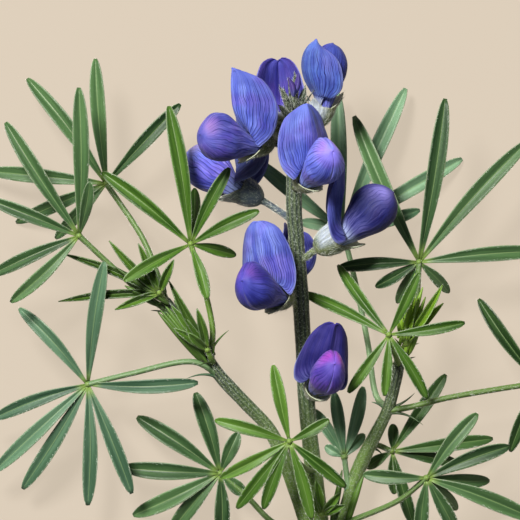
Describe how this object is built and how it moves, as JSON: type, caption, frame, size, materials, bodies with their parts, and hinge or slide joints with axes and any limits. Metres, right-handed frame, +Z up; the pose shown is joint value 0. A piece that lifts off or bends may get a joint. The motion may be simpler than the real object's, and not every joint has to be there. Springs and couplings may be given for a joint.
{
  "type": "lupin flower spike",
  "caption": "Flowering stem of a narrow-leaved blue lupin, cut and laid down: a spike of two-lipped pea florets and a tuft of buds, with leafy side shoots of palmate leaves.",
  "frame": {"origin": "on the small flat under the cut end of the main stem, which lies on the surface", "axes": "+Z up from the surface, towards the side that the picture shows; +Y along the main stem from the cut end to the buds; +X to the right of the picture"},
  "size_m": [0.0942, 0.0847, 0.028],
  "materials": {
    "stem": "dark green, speckled with short silvery hairs that lie flat; yellower green low down",
    "leaf": "mid green with a paler midrib, a fine pale rim and a faint waxy bloom",
    "young_leaf": "light silky green, half folded",
    "calyx": "yellow-green with silvery silky hairs",
    "banner": "lavender-blue petal with fine dark-blue veins and a paler margin",
    "wings": "blue-violet petal with darker veins and a pink-magenta flush near the tip",
    "keel": "pale lilac, dark violet at the tip",
    "bud": "grey-green, silky with silvery hairs",
    "bud_petal": "unopened petal, violet-blue"
  },
  "bodies": {
    "root": {"stem": "stem", "leaf_left_1": "leaf", "leaf_left_2": "leaf", "leaf_left_3": "leaf", "leaf_left_4": "leaf", "leaf_left_5": "leaf", "leaf_front": "leaf", "leaf_behind_spike": "leaf", "leaf_right_1": "leaf", "leaf_right_2": "leaf", "leaf_right_3": "leaf", "leaf_right_4": "leaf", "leaf_right_5": "leaf", "leaf_right_6": "leaf", "young_leaf_left": "young_leaf", "young_leaf_right": "young_leaf", "young_leaf_base": "young_leaf", "axil_leaf_left": "young_leaf", "floret_1_calyx": "calyx", "floret_1_banner": "banner", "floret_1_wings": "wings", "floret_1_keel": "keel", "floret_2_calyx": "calyx", "floret_2_banner": "banner", "floret_2_wings": "wings", "floret_2_keel": "keel", "floret_3_calyx": "calyx", "floret_3_banner": "banner", "floret_3_wings": "wings", "floret_3_keel": "keel", "floret_4_calyx": "calyx", "floret_4_banner": "banner", "floret_4_wings": "wings", "floret_4_keel": "keel", "floret_5_calyx": "calyx", "floret_5_banner": "banner", "floret_5_wings": "wings", "floret_5_keel": "keel", "floret_6_calyx": "calyx", "floret_6_banner": "banner", "floret_6_wings": "wings", "floret_6_keel": "keel", "floret_7_calyx": "calyx", "floret_7_banner": "banner", "floret_7_wings": "wings", "floret_7_keel": "keel", "floret_8_calyx": "calyx", "floret_8_banner": "banner", "floret_8_wings": "wings", "floret_8_keel": "keel", "floret_9_calyx": "calyx", "floret_9_banner": "banner", "floret_9_wings": "wings", "floret_9_keel": "keel", "bud_tuft": "bud", "bud_petals": "bud_petal"}
  },
  "joints": []
}
